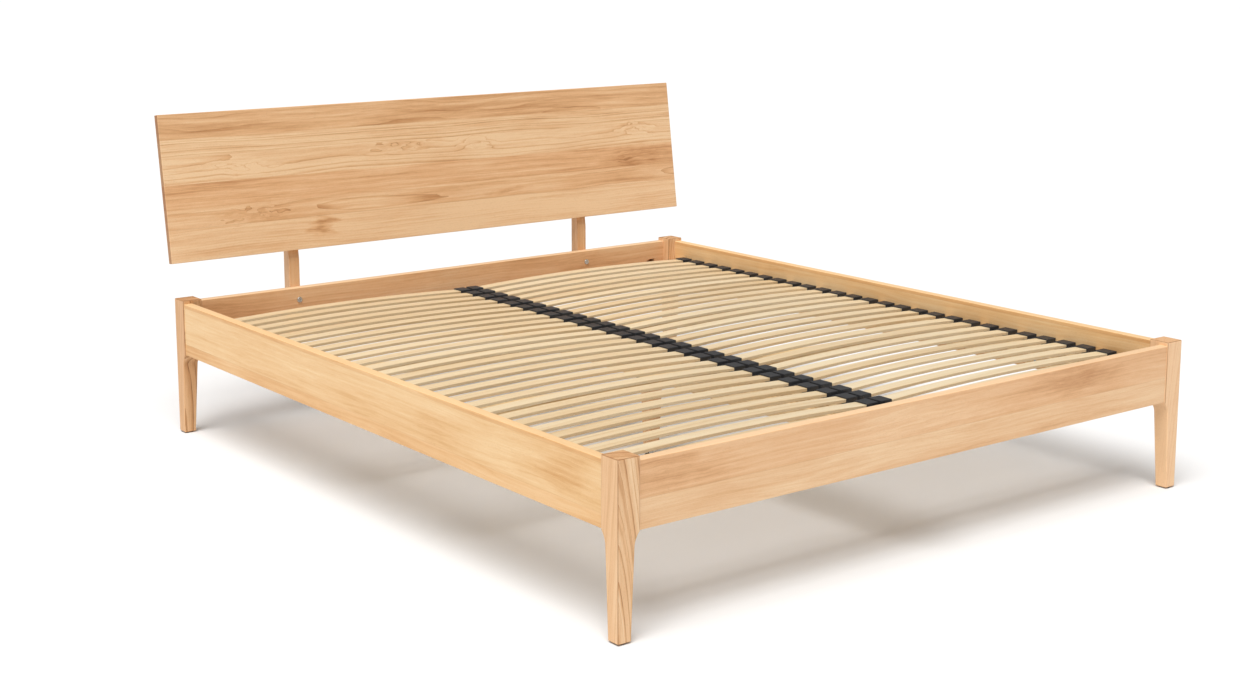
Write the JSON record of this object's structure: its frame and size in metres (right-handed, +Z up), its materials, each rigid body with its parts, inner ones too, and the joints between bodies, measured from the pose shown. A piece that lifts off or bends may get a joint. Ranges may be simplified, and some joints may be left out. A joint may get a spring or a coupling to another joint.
{
  "type": "double bed frame",
  "caption": "Solid wood double bed frame with tapered legs, plain rails, a leaning plank headboard and lift-out slatted bases.",
  "frame": {"origin": "on the floor, under the middle of the whole bed's box", "axes": "+X to the right seen from the foot end, +Y towards the headboard, +Z up"},
  "size_m": [1.883, 2.2126, 0.9314],
  "materials": {
    "frame_wood": "oiled solid hardwood, satin",
    "headboard_wood": "oiled glued staves, satin",
    "base_wood": "planed softwood, unfinished",
    "slat_wood": "laminated birch, clear lacquer",
    "dowel_wood": "plain beech dowel",
    "zinc_steel": "zinc plated",
    "pressed_steel": "dark grey powder coat",
    "brass": "plain turned brass",
    "cap_plastic": "fine grained moulding",
    "glide_plastic": "fine grained moulding",
    "felt": "pressed wool felt"
  },
  "bodies": {
    "frame": {"beam_shoe_screws": "zinc_steel", "centre_beam": "frame_wood", "centre_leg": "frame_wood", "centre_leg_insert": "brass", "centre_leg_plate": "pressed_steel", "centre_leg_plate_screws": "zinc_steel", "centre_leg_stud": "zinc_steel", "foot_beam_shoe": "pressed_steel", "foot_left_glide": "felt", "foot_left_leg": "frame_wood", "foot_rail": "frame_wood", "foot_right_glide": "felt", "foot_right_leg": "frame_wood", "head_beam_shoe": "pressed_steel", "head_left_glide": "felt", "head_left_leg": "frame_wood", "head_rail": "frame_wood", "head_right_glide": "felt", "head_right_leg": "frame_wood", "headboard": "headboard_wood", "headboard_screws": "zinc_steel", "ledge_screws": "zinc_steel", "left_headboard_support": "frame_wood", "left_ledge": "frame_wood", "left_side_rail": "frame_wood", "rail_dowels": "dowel_wood", "rail_nut_washers": "zinc_steel", "rail_nuts": "zinc_steel", "rail_studs": "zinc_steel", "right_headboard_support": "frame_wood", "right_ledge": "frame_wood", "right_side_rail": "frame_wood", "support_bolts": "zinc_steel", "support_sleeve_nuts": "zinc_steel"},
    "left_slatted_base": {"left_base_dowels": "dowel_wood", "left_base_foot_cross_rail": "base_wood", "left_base_foot_inner_cross_rail": "base_wood", "left_base_head_cross_rail": "base_wood", "left_base_head_inner_cross_rail": "base_wood", "left_base_inner_runner": "base_wood", "left_base_inner_slat_caps": "cap_plastic", "left_base_outer_runner": "base_wood", "left_base_outer_slat_caps": "cap_plastic", "left_base_slats": "slat_wood"},
    "right_slatted_base": {"right_base_dowels": "dowel_wood", "right_base_foot_cross_rail": "base_wood", "right_base_foot_inner_cross_rail": "base_wood", "right_base_head_cross_rail": "base_wood", "right_base_head_inner_cross_rail": "base_wood", "right_base_inner_runner": "base_wood", "right_base_inner_slat_caps": "cap_plastic", "right_base_outer_runner": "base_wood", "right_base_outer_slat_caps": "cap_plastic", "right_base_slats": "slat_wood"},
    "levelling_foot": {"levelling_spindle": "zinc_steel", "levelling_glide": "glide_plastic", "levelling_glide_felt": "felt"}
  },
  "joints": [
    {"name": "left_base_lift", "type": "slide", "parent": "frame", "child": "left_slatted_base", "axis": [0, 0, 1], "range_m": [0, 0.3]},
    {"name": "right_base_lift", "type": "slide", "parent": "frame", "child": "right_slatted_base", "axis": [0, 0, 1], "range_m": [0, 0.3]},
    {"name": "levelling_foot_screw", "type": "slide", "parent": "frame", "child": "levelling_foot", "axis": [0, 0, 1], "range_m": [0, 0.01]}
  ]
}
